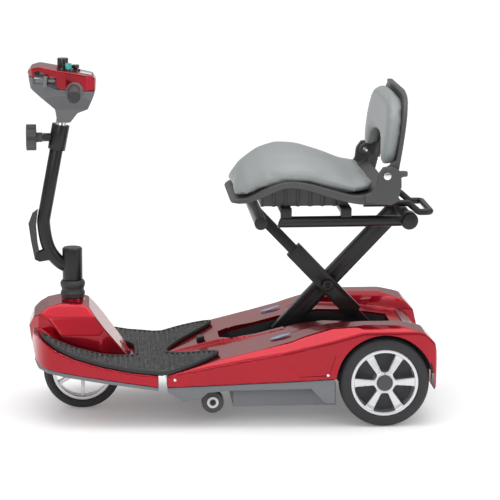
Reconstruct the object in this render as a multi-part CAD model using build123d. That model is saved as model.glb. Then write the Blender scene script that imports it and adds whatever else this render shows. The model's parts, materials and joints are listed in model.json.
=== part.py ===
from build123d import *
import os
from math import cos, radians, sin

# Folding three-wheel mobility scooter, in millimetres.
# +X points to the rear, +Y to the rider's right, +Z up. The origin is on the floor under
# the middle of the machine's length and width.

# ---------------------------------------------------------------- driving dimensions
WALL = 3.5
RUN = 0.05

REAR_AXLE_X = 334.0
REAR_TYRE_R = 101.5
REAR_RIM_R = 76.5
WHEEL_OUT_Y = 231.5
WHEEL_IN_Y = 182.0
ARCH_R = 110.0
FRONT_AXLE_X = -342.0
FRONT_TYRE_R = 90.0
FRONT_RIM_R = 70.0
FRONT_TYRE_W = 40.0
MID_WHEEL_X = -49.6
MID_WHEEL_Z = 50.0

FOLD_X = -163.0
FOLD_Z = 114.0
FRONT_END_X = -172.5
REAR_END_X = -153.5
MAT_T = 10.0

CROSS_X = 225.0
CROSS_Z = 285.0
ARM_ANGLE = 46.5
ARM_TOP = 242.6
ARM_BOTTOM = 186.0
ARM_W = 39.0
BAR_W = 24.0
CROSS_TUBE_R = 14.0
CROSS_TUBE_HALF = 184.0
CHANNEL_FLOOR = 132.0

STEER_X = -362.0
STEM_R = 16.0
COLUMN_R = 23.0
TILLER_TOP = (-394.5, 605.0)
TILLER_LEAN = 11.1
TILLER_R = 15.0
INNER_R = 12.5

RAIL_Y = 165.0
RAIL_R = 12.5
RAIL_Z = 460.0
BACK_X = 336.0
BACK_Z = 569.0

# station along the seat: x, cushion underside, cushion side top, crown, half width
SEAT_LINES = [
    (4, 506, 514, 522, 120),
    (30, 515, 529, 562, 160),
    (70, 540, 553, 590, 184),
    (112, 556, 569, 602, 192),
    (160, 553, 566, 598, 195),
    (215, 538, 551, 580, 195),
    (265, 525, 537, 559, 193),
    (300, 530, 540, 550, 184),
    (318, 537, 543, 547, 150),
]
# station along the pan: x, underside, top, half width
PAN_LINES = [
    (-4, 497, 503.5, 118),
    (30, 503, 513.5, 165),
    (70, 522, 538, 189),
    (112, 540, 554, 197),
    (160, 536, 551, 200),
    (215, 518, 536, 202),
    (265, 505, 523, 202),
    (305, 502, 528, 202),
    (345, 502, 544, 202),
]

ANGLE = radians(ARM_ANGLE)
REAR_PIVOT = (CROSS_X + ARM_BOTTOM * cos(ANGLE), CROSS_Z - ARM_BOTTOM * sin(ANGLE))
SLIDE_PIVOT = (CROSS_X - ARM_BOTTOM * cos(ANGLE), CROSS_Z - ARM_BOTTOM * sin(ANGLE))
SEAT_PIVOT = (CROSS_X + ARM_TOP * cos(ANGLE), CROSS_Z + ARM_TOP * sin(ANGLE))
TUBE_PIVOT = (CROSS_X - ARM_TOP * cos(ANGLE), CROSS_Z + ARM_TOP * sin(ANGLE))

PARTS = {}


# ---------------------------------------------------------------- helpers
def side(points, y_low, y_high):
    """A closed outline of (x, z) points, solid from y_low to y_high."""
    face = Plane.XZ * make_face(Polyline(*points, close=True))
    return Pos(0, y_high, 0) * extrude(face, y_high - y_low)


def plan(points, z_low, z_high):
    """A closed outline of (x, y) points, solid from z_low to z_high."""
    face = make_face(Polyline(*points, close=True))
    return Pos(0, 0, z_low) * extrude(face, z_high - z_low)


def front_view(points, x_low, x_high):
    """A closed outline of (y, z) points, solid from x_low to x_high."""
    face = Plane.YZ * make_face(Polyline(*points, close=True))
    return Pos(x_low, 0, 0) * extrude(face, x_high - x_low)


def rod_x(y, z, radius, x_low, x_high):
    """A round bar along X."""
    return Pos((x_low + x_high) / 2, y, z) * Rot(0, 90, 0) * Cylinder(radius, x_high - x_low)


def rod_y(x, z, radius, y_low, y_high):
    """A round bar along Y."""
    return Pos(x, (y_low + y_high) / 2, z) * Rot(90, 0, 0) * Cylinder(radius, y_high - y_low)


def ring_y(x, z, outer, inner, y_low, y_high):
    """A round tube along Y."""
    return rod_y(x, z, outer, y_low, y_high) - rod_y(x, z, inner, y_low - 1, y_high + 1)


def rod_z(x, y, radius, z_low, z_high):
    """A round bar along Z."""
    return Pos(x, y, (z_low + z_high) / 2) * Cylinder(radius, z_high - z_low)


def ring_z(x, y, outer, inner, z_low, z_high):
    """A round tube along Z."""
    return rod_z(x, y, outer, z_low, z_high) - rod_z(x, y, inner, z_low - 1, z_high + 1)


def rod(start, end, radius):
    """A round bar from one point to another."""
    along = Vector(*end) - Vector(*start)
    plane = Plane(origin=start, z_dir=along)
    return plane * Cylinder(radius, along.length, align=(Align.CENTER, Align.CENTER, Align.MIN))


def block(x_low, x_high, y_low, y_high, z_low, z_high):
    """A rectangular block between two corners."""
    centre = Pos((x_low + x_high) / 2, (y_low + y_high) / 2, (z_low + z_high) / 2)
    return centre * Box(x_high - x_low, y_high - y_low, z_high - z_low)


def mirrored(points):
    """Closes a half outline of (a, half width) points with its other side."""
    return [(a, -b) for a, b in points] + [(a, b) for a, b in reversed(points)]


def both(shape):
    """The shape and its mirror image on the other side, as separate solids."""
    return shape + mirror(shape, about=Plane.XZ)


def arched(points):
    """Closes a half outline of (y, z) points with its other side."""
    return [(-y, z) for y, z in points] + [(y, z) for y, z in reversed(points)]


def inset(points, amount):
    """A face with every side of the outline moved inwards."""
    face = make_face(Polyline(*points, close=True))
    return offset(face, -amount, kind=Kind.INTERSECTION)


def along(centre, angle, low, high, width, y_low, y_high):
    """A bar along a slanted line through centre, seen from the side."""
    c, s = cos(radians(angle)), sin(radians(angle))
    corners = [(low, -width / 2), (high, -width / 2), (high, width / 2), (low, width / 2)]
    outline = [(centre[0] + a * c - b * s, centre[1] + a * s + b * c) for a, b in corners]
    return side(outline, y_low, y_high)


def lofted(sections):
    """A solid through cross-sections, each one (x, list of (y, z) points)."""
    faces = [Plane.YZ.offset(x) * make_face(Polyline(*points, close=True))
             for x, points in sections]
    return loft(faces, ruled=True)


def keep(name, shape):
    """Registers a sub-part under the name of its node."""
    PARTS[name] = shape


def tiller(s, offset_x=0.0, offset_z=0.0):
    """The point at distance s along the leaning steering post above its tube's mouth."""
    lean = radians(TILLER_LEAN)
    return (TILLER_TOP[0] + s * sin(lean) + offset_x, 0, TILLER_TOP[1] + s * cos(lean) + offset_z)


# ---------------------------------------------------------------- front section
FOOT_TOP = [(FRONT_END_X, 121), (-235, 128), (-300, 141), (-360, 158), (-405, 178), (-440, 203)]
FOOT_NOSE = [(-452, 198), (-456, 172), (-447, 143), (-436, 134)]
FOOT_PLAN = [(FRONT_END_X, 208), (-300, 200), (-380, 188), (-420, 168), (-444, 128), (-456, 70),
             (-459, 20)]
FAIRING_SIDE = [(-230, 120), (-326, 250), (-340, 256), (-388, 259), (-420, 251), (-452, 228),
                (-463, 204), (-457, 165), (-436, 141), (-300, 120.5)]
FAIRING_PLAN = [(-225, 40), (-240, 62), (-300, 92), (-390, 92), (-440, 72), (-463, 34)]
FAIRING_FRONT = [(104, 118), (92, 190), (76, 232), (56, 262)]


def foot_block(amount):
    """The footrest body moved inwards by amount."""
    outline = FOOT_TOP + FOOT_NOSE + [(FRONT_END_X, 94)]
    length = extrude(Plane.XZ * inset(outline, amount), 250, both=True)
    width = extrude(inset(mirrored(FOOT_PLAN), amount), 400)
    return length & width


def fairing_block(amount):
    """The fairing round the steering head moved inwards by amount."""
    length = extrude(Plane.XZ * inset(FAIRING_SIDE, amount), 150, both=True)
    width = extrude(inset(mirrored(FAIRING_PLAN), amount), 400)
    across = extrude(Plane.YZ * inset(arched(FAIRING_FRONT), amount), 500, both=True)
    return length & width & across


def front_section():
    """Footrest shell with fairing, its grey skirt, the front mat and the frame inside."""
    outer = foot_block(0) + fairing_block(0) + rod_z(STEER_X, 0, 27, 244, 260)
    low = [(FRONT_END_X - WALL, 101), (-440, 143), (-440, 80), (FRONT_END_X - WALL, 80)]
    opening = side(low, -250, 250) & extrude(inset(mirrored(FOOT_PLAN), WALL), 150)
    shell = outer - foot_block(WALL) - fairing_block(WALL) - (opening & foot_block(0))
    shell -= rod_z(STEER_X, 0, 19.5, 200, 300)
    shell -= block(-180, -170, -156, 156, 99, 117.5)
    keep("front_shell", shell)

    strip = side([(FRONT_END_X, 86.5), (FRONT_END_X, 93.5), (-436, 133.4), (-445, 141),
                  (-450, 139), (-440, 125.5)], -250, 250)
    outline = mirrored(FOOT_PLAN)
    ring = plan(outline, 0, 300) - extrude(inset(outline, 12), 300)
    keep("front_skirt", strip & ring)

    under = [(x, z + 0.6) for x, z in FOOT_TOP[:-1]] + [(-436, 201)]
    over = [(x, z + MAT_T + 0.6) for x, z in under]
    sheet = side(under + over[::-1], -250, 250)
    edge = [(FRONT_END_X, 205), (-300, 196), (-376, 184), (-414, 165), (-432, 145), (-430, 118),
            (-400, 106), (-300, 101), (-240, 70), (-222, 44)]
    keep("front_mat", sheet & plan(mirrored(edge), 0, 400))

    frame = ring_z(STEER_X, 0, 22, 19, 200, 242)
    frame += side([(-343, 206), (-343, 240), (-325, 236), (-303, 206)], -12, 12)
    frame += side([(-322.5, 236), (-226, 106), (-232.6, 106), (-328.6, 236)], -30, 30)
    frame += block(-246, -177, -180, 180, 106, 111)
    frame -= rod_z(STEER_X, 0, 19, 190, 250)
    for z in (200, 232):
        frame += ring_z(STEER_X, 0, 19, STEM_R + RUN, z, z + 10)
    lug = rod_y(FOLD_X, FOLD_Z, 7, 132, 150) + block(-190, FOLD_X - 2, 132, 150, 111, 115)
    lug += block(-177, FOLD_X - 2, 132, 150, 107.5, 115)
    keep("front_frame", frame + both(lug - rod_y(FOLD_X, FOLD_Z, 4 + RUN, 130, 152)))


# ---------------------------------------------------------------- steering
def steering():
    """Fork, column, boot, bent tube, clamp collar and the column's lever."""
    leg = side([(-350, 80), (-334, 80), (-334, 100), (-346, 150), (-346, 196), (-378, 196),
                (-378, 184), (-362, 150)], 24.5, 31)
    fork = both(leg) + block(-378, -346, -31, 31, 184, 196) + rod_z(STEER_X, 0, STEM_R, 190, 340)
    keep("fork", fork + rod_y(FRONT_AXLE_X, FRONT_TYRE_R, 6, -34, 34))

    rings = [(STEM_R, 262), (27, 262), (27.5, 268), (28.5, 272), (25.5, 279), (25.5, 283),
             (28.5, 290), (28.5, 296), (25, 302), (STEM_R, 302)]
    face = Plane.XZ * make_face(Polyline(*rings, close=True))
    keep("steering_boot", Pos(STEER_X, 0, 0) * revolve(face, Axis.Z))

    column = rod_z(STEER_X, 0, COLUMN_R, 304, 378)
    column = chamfer(column.edges().sort_by(Axis.Z)[-1], 3)
    path = Spline((-366, 0, 333), (-396, 0, 348), (-418, 0, 384), (-426, 0, 430),
                  tiller(-120), tangents=[(-1, 0, 0.1), (0.1925, 0, 0.9813)])
    start = Plane(origin=path @ 0, z_dir=path % 0)
    bend = sweep(start * Circle(TILLER_R), path=path)
    post = rod(tiller(-120.5), tiller(0), TILLER_R)
    lug = side([(-447, 352), (-437, 347), (-404, 352), (-410, 380), (-444, 366)], 9.5, 13.5)
    tube = column + bend + post + both(lug)
    tube -= rod(tiller(-112), tiller(2), INNER_R + RUN)
    tube -= rod_y(-441, 357, 3 + RUN, -20, 20)
    keep("steering_post", tube - rod_z(STEER_X, 0, STEM_R, 180, 340))

    collar = rod(tiller(0.3), tiller(58), 20)
    collar += Pos(-408, 0, 633) * Rot(0, 90, 0) * Cylinder(9.5, 34)
    collar -= rod(tiller(-2), tiller(60), INNER_R + RUN)
    collar -= Pos(-415, 0, 633) * Rot(0, 90, 0) * Cylinder(4 + RUN, 40)
    collar -= rod(tiller(-2), tiller(60), INNER_R + RUN)
    keep("clamp_collar", collar)

    fin = side([(-438.5, 468), (-452, 458), (-461, 435), (-456, 395), (-448, 352), (-438, 350),
                (-435, 358), (-441, 392), (-443.5, 430), (-440.5, 455)], -9, 9)
    keep("fold_lever", fin + rod_y(-441, 357, 3, -13, 13))

    grip = Pos(-451, 0, 633) * Rot(0, 90, 0) * Cylinder(20, 23)
    for k in range(6):
        a = radians(60 * k + 30)
        lobe = Cylinder(10, 23)
        grip += Pos(-451, 20 * cos(a), 633 + 20 * sin(a)) * Rot(0, 90, 0) * lobe
    grip += Pos(-432.5, 0, 633) * Rot(0, 90, 0) * Cylinder(11, 14)
    keep("clamp_knob", grip + rod_x(0, 633, 4, -440, -404))


def front_wheel():
    """Front tyre and its spoked rim."""
    half = FRONT_TYRE_W / 2
    shape = [(FRONT_RIM_R, -half + 4), (FRONT_TYRE_R - 8, -half), (FRONT_TYRE_R - 2, -half + 7),
             (FRONT_TYRE_R, -4), (FRONT_TYRE_R, 4), (FRONT_TYRE_R - 2, half - 7),
             (FRONT_TYRE_R - 8, half), (FRONT_RIM_R, half - 4)]
    wheel = revolve(make_face(Polyline(*shape, close=True)), Axis.Y)
    centre = Pos(FRONT_AXLE_X, 0, FRONT_TYRE_R)
    keep("front_tyre", centre * wheel)
    x, z = FRONT_AXLE_X, FRONT_TYRE_R
    rim = ring_y(x, z, FRONT_RIM_R, FRONT_RIM_R - 7, -half + 4, half - 4)
    rim += rod_y(x, z, 16, -half, half)
    for k in range(6):
        spoke = block(12, FRONT_RIM_R - 4, -6, 6, -4.5, 4.5)
        rim += Pos(x, 0, z) * Rot(0, 60 * k + 30, 0) * spoke
    keep("front_rim", rim - rod_y(x, z, 6 + RUN, -30, 30))


# ---------------------------------------------------------------- tiller head
HEAD_PLAN = [(-456, 26), (-446, 46), (-420, 56), (-370, 58), (-325, 52), (-306, 40), (-301, 20)]


def tiller_head():
    """Inner post, head covers, handlebar with grips, and the controls on the head."""
    keep("inner_post", rod(tiller(-110), tiller(92), INNER_R))
    x, z = -352.0, 747.0
    lower = side([(-391, 668), (-396, 700), (-424, 727), (-450, 750), (-455, 779), (-388, 748.5),
                  (-305, 741.5), (-308, 732), (-322, 699), (-345, 690), (-362, 668)], -60, 60)
    waist = front_view(arched([(60, 790), (58, 735), (30, 700), (20, 680), (20, 660)]), -500, 0)
    lower = lower & plan(mirrored(HEAD_PLAN), 600, 900) & waist
    upper = side([(-455.5, 779.7), (-456, 786), (-447, 795), (-430, 799), (-310, 776),
                  (-302, 766), (-304, 742.1), (-388, 749.1)], -60, 60)
    upper = upper & plan(mirrored(HEAD_PLAN), 600, 900)
    slot = block(-441, -393, -70, 70, 762, 775)
    bar = rod_y(x, z, 8, -176, 176)
    bores = rod_z(-417, 0, 4.5 + RUN, 750, 787) + rod_z(-364, -27, 3.5 + RUN, 774, 800)
    bores += rod_z(-349, 25, 4 + RUN, 766, 800)
    keep("head_lower_cover", lower - slot - bar - bores - rod(tiller(50), tiller(92), INNER_R))
    keep("head_upper_cover", upper - slot - bar - bores)
    keep("handlebar", bar)
    grip = chamfer(rod_y(x, z, 14.5, 60, 186).edges().filter_by(GeomType.CIRCLE), 3)
    keep("hand_grips", both(grip - rod_y(x, z, 8, 50, 176)))

    lever = rod_y(-417, 768.5, 4, -70, 70) + rod_z(-417, 0, 4.5, 752, 785)
    paddle = side([(-422, 757), (-413, 757), (-411, 779), (-419, 780)], 62, 88)
    keep("throttle_paddles", lever + both(paddle))

    dial = rod_z(-377, 0, 12.5, 793, 813)
    for k in range(12):
        a = radians(30 * k)
        dial -= rod_z(-377 + 13.2 * cos(a), 13.2 * sin(a), 1.6, 796, 815)
    keep("speed_dial", dial)
    barrel = rod_z(-364, -27, 3.5, 776, 792)
    keep("key", barrel + block(-371, -357, -28.5, -25.5, 791.5, 804))
    keep("horn_button", rod_z(-349, 25, 9, 787, 795) + rod_z(-349, 25, 4, 768, 790))
    tilt = Pos(-325, 0, 780.2) * Rot(0, 10.85, 0)
    keep("display", tilt * Box(26, 56, 1.6))


# ---------------------------------------------------------------- rear section
DECK_TOP = [(REAR_END_X, 121), (-27, 158), (57, 178), (153, 203), (210, 210), (290, 207),
            (404, 190)]
DECK_LOW = [(404, 112), (222, 112), (REAR_END_X, 93)]
FENDER_TOP = [(100, 170), (100, 190.5), (153, 206), (215, 224), (290, 231), (370, 230),
              (425, 214), (448, 190), (457, 150)]
FENDER_LOW = [(450, 84), (437, 84), (431, 112), (222, 112)]
FENDER_Y = 152.0
DECK_PLAN = [(REAR_END_X, 206), (-100, 212), (32, 221), (109, 228), (215, 231.5), (430, 231.5),
             (450, 224), (457, 200)]
CHANNEL = [(-27, 30), (0, 56), (372, 66)]
RIDGE = [(-146, 127), (-27, 167), (57, 181), (120, 197), (120, 150), (-146, 110)]


def deck_block(amount):
    """The rear bodywork moved inwards by amount."""
    length = extrude(Plane.XZ * inset(DECK_TOP + DECK_LOW, amount), 300, both=True)
    fender = side(FENDER_TOP + FENDER_LOW, FENDER_Y, 300)
    if amount:
        face = Plane.XZ * inset(FENDER_TOP + FENDER_LOW, amount)
        fender = Pos(0, 300, 0) * extrude(face, 300 - FENDER_Y - amount)
    width = extrude(inset(mirrored(DECK_PLAN), amount), 400)
    length += both(fender)
    ridge_length = extrude(Plane.XZ * inset(RIDGE, amount), 300, both=True)
    ridge_width = extrude(inset(mirrored([(-146, 5), (-27, 48), (57, 72), (120, 78)]), amount), 400)
    return (length & width) + (ridge_length & ridge_width)


def bodywork():
    """Rear deck with fenders, wheel liners, skirt, bumper, lamps and rear mat."""
    arches = both(rod_y(REAR_AXLE_X, REAR_TYRE_R, ARCH_R, 177, 240))
    low = [(REAR_END_X + WALL, 110), (222, 125), (446, 125), (446, 50), (REAR_END_X + WALL, 50)]
    opening = side(low, -300, 300) & extrude(inset(mirrored(DECK_PLAN), WALL), 150)
    channel = plan(mirrored(CHANNEL), 100, 300)
    shell = deck_block(0) - deck_block(WALL) - (opening & deck_block(0)) - arches - channel
    shell -= block(395, 404.1, -FENDER_Y, FENDER_Y, 60, 186)
    shell -= block(-156, -149, -156, 156, 99, 118)
    keep("deck_shell", shell)

    x, z = REAR_AXLE_X, REAR_TYRE_R
    liner = ring_y(x, z, ARCH_R + 3, ARCH_R, 173, 229) + rod_y(x, z, ARCH_R + 3, 173, 176.5)
    cover = FENDER_TOP + [(452, 116), (100, 116)]
    inside = extrude(Plane.XZ * inset(cover, 4), 300, both=True)
    inside = inside & extrude(inset(mirrored(DECK_PLAN), 4), 400)
    keep("wheel_liners", both(liner & inside))

    skirt = [(REAR_END_X, 92.5), (222, 111.5), (222, 57), (200, 57), (168, 91), (-7, 87),
             (-62, 82), (-80, 66), (-116, 60), (REAR_END_X, 84)]
    ring = extrude(inset(mirrored(DECK_PLAN), 1.5), 300) - extrude(
        inset(mirrored(DECK_PLAN), 8), 300)
    keep("deck_skirt", side(skirt, -300, 300) & ring)

    bumper = side([(404.6, 190), (420, 186), (438, 170), (452, 146), (452, 84), (446, 84),
                   (446, 144), (433, 166), (416, 180), (404.6, 183)], -151.5, 151.5)
    keep("rear_bumper", bumper)
    lens = side([(452.5, 104), (456, 104), (456, 140), (452.5, 140)], 70, 138)
    keep("tail_lenses", both(lens))

    low_line = [(REAR_END_X, 121.6), (-30, 157.7)]
    sheet = side(low_line + [(-30, 157.7 + MAT_T), (REAR_END_X, 121.6 + MAT_T)], -250, 250)
    edge = [(REAR_END_X, 203), (-100, 200), (-60, 184), (-38, 166), (-36, 150), (-60, 118),
            (-110, 70), (-140, 26), (-147.5, 1)]
    keep("rear_mat", sheet & plan(mirrored(edge), 0, 400))
    keep("deck_catch", side([(-78, 151.6), (-60, 157.6), (-60, 166), (-76, 163)], -13, 13))
    slope = Pos(105, 0, 193.6) * Rot(0, -16.26, 0)
    oval = extrude(Ellipse(24, 12), 1.4)
    keep("deck_badges", both(Pos(0, 145, 0) * slope * oval))


def chassis():
    """Frame, scissor channel, batteries, drive and the small middle wheels' brackets."""
    rail = block(-126, 366, 100, 120, 98, 118)
    keep("frame_rails", both(rail - rod_y(REAR_AXLE_X, REAR_TYRE_R, 8, 90, 130)))
    keep("frame_rear_beam", block(366, 380, -120, 120, 98, 118))
    lug = rod_y(FOLD_X, FOLD_Z, 7, 112, 131) + block(FOLD_X, -146, 112, 131, 107.5, 117.5)
    lug += rod_y(FOLD_X, FOLD_Z, 4, 112, 152)
    keep("frame_front_beam", block(-146, -126, -150, 150, 98, 118) + both(lug))

    outline = mirrored(CHANNEL)
    face = make_face(Polyline(*outline, close=True))
    trough = extrude(offset(face, 3, kind=Kind.INTERSECTION), 240 - 129)
    trough = Pos(0, 0, 129) * trough - plan(outline, CHANNEL_FLOOR, 300)
    roof = extrude(Plane.XZ * inset(DECK_TOP + DECK_LOW, WALL + 0.5), 300, both=True)
    trough = (trough & roof)
    for x, y in ((20, 50), (340, 62)):
        trough += both(block(x, x + 20, y, 120, 118, 130))
    keep("scissor_channel", trough + rod_y(REAR_PIVOT[0], REAR_PIVOT[1], 6, -72, 72))

    box = block(-5, 228, -188, 188, 42.5, 95) - block(-2, 225, -185, 185, 46, 99)
    keep("battery_tray", box)
    keep("batteries", both(block(2, 221, 3, 120, 46.5, 95)))

    gear = rod_y(334, 101.5, 25, -58, -24) + rod_y(272, 88, 34, -58, -24)
    gear += side([(272, 122), (334, 126.5), (334, 76.5), (272, 54)], -58, -24)
    gear += rod_y(272, 88, 33, -24, 70) + rod_y(272, 88, 24, 70, 86)
    keep("drive_unit", gear + rod_y(334, 101.5, 8, -226, 226))

    bracket = block(-60, -38, 120, 147, 99, 112) + block(-60, -38, 140, 147, 40, 112)
    bracket += rod_y(MID_WHEEL_X, MID_WHEEL_Z, 4.5, 145, 176)
    keep("mid_wheel_brackets", both(bracket))


def rear_wheel(sign, name):
    """Tyre, six-spoke rim and plain hub cap of one driven wheel."""
    x, z = REAR_AXLE_X, REAR_TYRE_R
    out, low = WHEEL_OUT_Y, WHEEL_IN_Y
    shape = [(REAR_RIM_R, low + 4), (REAR_TYRE_R - 12, low), (REAR_TYRE_R - 3, low + 7),
             (REAR_TYRE_R, low + 17), (REAR_TYRE_R, out - 17), (REAR_TYRE_R - 3, out - 7),
             (REAR_TYRE_R - 12, out), (REAR_RIM_R, out - 4)]
    tyre = Pos(x, 0, z) * revolve(make_face(Polyline(*shape, close=True)), Axis.Y)
    rim = ring_y(x, z, REAR_RIM_R, REAR_RIM_R - 8, low + 4, out - 3)
    rim += rod_y(x, z, 23, low + 4, out - 3)
    for k in range(6):
        a, b, c = 18, REAR_RIM_R - 5, 9
        wedge = plan([(a, -c), (b, -c - 3), (b, c + 3), (a, c)], out - 16, out - 4)
        rim += Pos(x, 0, z) * Rot(0, 60 * k, 0) * Rot(-90, 0, 0) * wedge
    rim -= rod_y(x, z, 8 + RUN, 150, out - 4.4)
    cap = chamfer(rod_y(x, z, 17.5, out - 3, out).edges().sort_by(Axis.Y)[-1], 1)
    shapes = {"tyre": tyre, "rim": rim, "hub_cap": cap}
    for part, shape in shapes.items():
        placed = shape if sign > 0 else mirror(shape, about=Plane.XZ)
        keep(f"rear_{part}_{name}", placed)
    x, z = MID_WHEEL_X, MID_WHEEL_Z
    roller = chamfer(rod_y(x, z, 25, 149, 175).edges().filter_by(GeomType.CIRCLE), 2)
    roller += rod_y(x, z, 13.5, 148, 175.5)
    roller -= rod_y(x, z, 4.5 + RUN, 140, 180)
    keep(f"mid_wheel_{name}", roller if sign > 0 else mirror(roller, about=Plane.XZ))


# ---------------------------------------------------------------- scissor
def scissor():
    """Both crossed arms with their cross tubes, the pivot bolt and the sliding shoes."""
    centre = (CROSS_X, CROSS_Z)
    bolt = rod_y(CROSS_X, CROSS_Z, 8, -28, 34)
    sleeve = along(centre, -ARM_ANGLE, -115, 92.6, ARM_W, -26, -1)
    bars = along(centre, -ARM_ANGLE, -ARM_TOP, ARM_BOTTOM, BAR_W, -22, -5)
    bars += rod_y(*REAR_PIVOT, 12, -26, -1)
    bars += sleeve
    bars -= rod_y(*REAR_PIVOT, 6 + RUN, -50, 50) + bolt
    keep("arm_one", bars - rod_y(*TUBE_PIVOT, CROSS_TUBE_R, -50, 50))
    tube = ring_y(*TUBE_PIVOT, CROSS_TUBE_R, 11.5, -CROSS_TUBE_HALF, CROSS_TUBE_HALF)
    tube += both(rod_y(*TUBE_PIVOT, 14.5, CROSS_TUBE_HALF, CROSS_TUBE_HALF + 5))
    keep("front_cross_tube", tube)
    head = rod_y(CROSS_X, CROSS_Z, 13, -34, -26) + bolt + rod_y(CROSS_X, CROSS_Z, 13, 27, 34)
    hexagon = extrude(Plane.XZ * RegularPolygon(5.5, 6), 5, both=True)
    keep("scissor_bolt", head - Pos(CROSS_X, -33, CROSS_Z) * hexagon)

    arm = along(centre, ARM_ANGLE, -ARM_BOTTOM + 22, ARM_TOP, ARM_W, 1, 26)
    arm += along(centre, ARM_ANGLE, -ARM_BOTTOM, -ARM_BOTTOM + 24, 22, 1, 26)
    arm -= rod_y(CROSS_X, CROSS_Z, 8 + RUN, 0, 30)
    arm -= rod_y(*SLIDE_PIVOT, 6, -30, 60)
    keep("arm_two", arm - rod_y(*SEAT_PIVOT, CROSS_TUBE_R, -50, 50) - block(
        SEAT_PIVOT[0] + 4, 430, 0, 30, 400, 500))
    shoes = [rod_y(*SLIDE_PIVOT, 13.5, low, low + 15) for low in (-15, 27)]
    keep("slide_shoes", rod_y(*SLIDE_PIVOT, 6, -16, 43) + shoes[0] + shoes[1])
    tube = ring_y(*SEAT_PIVOT, CROSS_TUBE_R, 11.5, -CROSS_TUBE_HALF, CROSS_TUBE_HALF)
    tube += both(rod_y(*SEAT_PIVOT, 16, CROSS_TUBE_HALF, CROSS_TUBE_HALF + 5))
    keep("rear_cross_tube", tube)


# ---------------------------------------------------------------- seat
def seat():
    """Rails, cross bars, handle, pan with its side brackets and the cushion."""
    rail = Pos(235, RAIL_Y, RAIL_Z) * Rot(0, 90, 0) * Cylinder(RAIL_R, 280)
    rail += rod_y(*SEAT_PIVOT, 20, 153, 177)
    rail -= rod_y(*SEAT_PIVOT, CROSS_TUBE_R + RUN, 100, 190)
    rail -= side([(80, 440), (94, 440), (106, 474), (80, 474)], 150, 180)
    keep("seat_rails", both(rail))
    bars = []
    for x in (104, 238):
        bar = block(x, x + 24, -176, 176, 478, 491.5) + both(block(x, x + 24, 156, 174, 470, 479))
        bars.append(bar - both(rod_x(RAIL_Y, RAIL_Z, RAIL_R, 90, 380)))
    keep("seat_cross_bars", bars[0] + bars[1])
    path = FilletPolyline((300, -76, 484), (404, -76, 484), (428, -76, 463), (455.5, -76, 463),
                          (455.5, 76, 463), (428, 76, 463), (404, 76, 484), (300, 76, 484),
                          radius=11)
    start = Plane(origin=path @ 0, z_dir=path % 0)
    handle = sweep(start * Circle(7.5), path=path)
    keep("lift_handle", handle + both(block(296, 330, 69, 83, 484, 501.8)))

    pan = lofted([(x, arched([(w - 14, low), (w, low + 6), (w, high)])) for x, low, high, w
                  in PAN_LINES])
    walls = block(60, 256, -150, 150, 492, 560) - block(65, 251, -145, 145, 480, 570)
    for k in range(1, 7):
        x = 60 + 28 * k
        walls += block(x, x + 4, -150, 150, 492, 560)
    above = lofted([(x, arched([(w + 30, high - 2), (w + 30, 700)])) for x, low, high, w
                    in PAN_LINES])
    bracket = side([(296, 510), (345, 503), (358, 510), (368, 545), (366, 578), (350, 588),
                    (328, 588), (317, 572), (313, 545), (300, 533)], 200, 214)
    pan = pan + (walls - above) + both(bracket) + both(rod_z(372, 205, 11, 566, 578))
    keep("seat_pan", pan - both(rod_y(BACK_X, BACK_Z, 6, 180, 220)))
    cushion = lofted([(x, arched([(w - 3, low), (w, side_z), (w * 0.8, side_z + 0.55 * (
        top - side_z)), (w * 0.45, side_z + 0.9 * (top - side_z)), (1, top)]))
        for x, low, side_z, top, w in SEAT_LINES])
    keep("seat_cushion", cushion)
    bolt = rod_y(BACK_X, BACK_Z, 6, 184, 216) + rod_y(BACK_X, BACK_Z, 8.5, 214, 218.5)
    keep("backrest_bolts", both(bolt))


def backrest():
    """Backrest shell with its two hinge lugs, the pad and the upper stops."""
    ribbon = side([(353, 562), (362, 562), (390, 735), (385, 753), (374, 753), (381, 735)],
                  -205, 205)
    face = arched([(196, 560), (199, 660), (186, 710), (140, 741), (60, 752)])
    arch = arched([(112, 550), (98, 600), (50, 620)])
    lug = rod_y(BACK_X, BACK_Z, 14, 186, 199)
    lug += side([(336, 555), (358, 562), (366, 600), (358, 600), (328, 580)], 186, 199)
    shell = (ribbon & front_view(face, 300, 420)) - front_view(arch, 300, 420) + both(lug)
    shell -= both(rod_y(BACK_X, BACK_Z, 6 + RUN, 150, 200))
    keep("backrest_shell", shell)
    cushion = side([(331, 588), (357.5, 594), (379.2, 728), (371, 741), (362, 740), (350, 720)],
                   -192, 192)
    face = arched([(172, 586), (186, 612), (191, 655), (178, 700), (134, 731), (60, 740)])
    arch = arched([(122, 580), (105, 615), (55, 634)])
    keep("backrest_pad", (cushion & front_view(face, 300, 420)) - front_view(arch, 300, 420))


front_section()
steering()
front_wheel()
tiller_head()
bodywork()
chassis()
rear_wheel(-1, "left")
rear_wheel(1, "right")
scissor()
seat()
backrest()

os.makedirs("parts", exist_ok=True)
for node, shape in PARTS.items():
    export_step(shape, f"parts/{node}.step")
print(len(PARTS), "nodes")
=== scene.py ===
import json
from math import cos, hypot, pi, radians, sin

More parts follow.
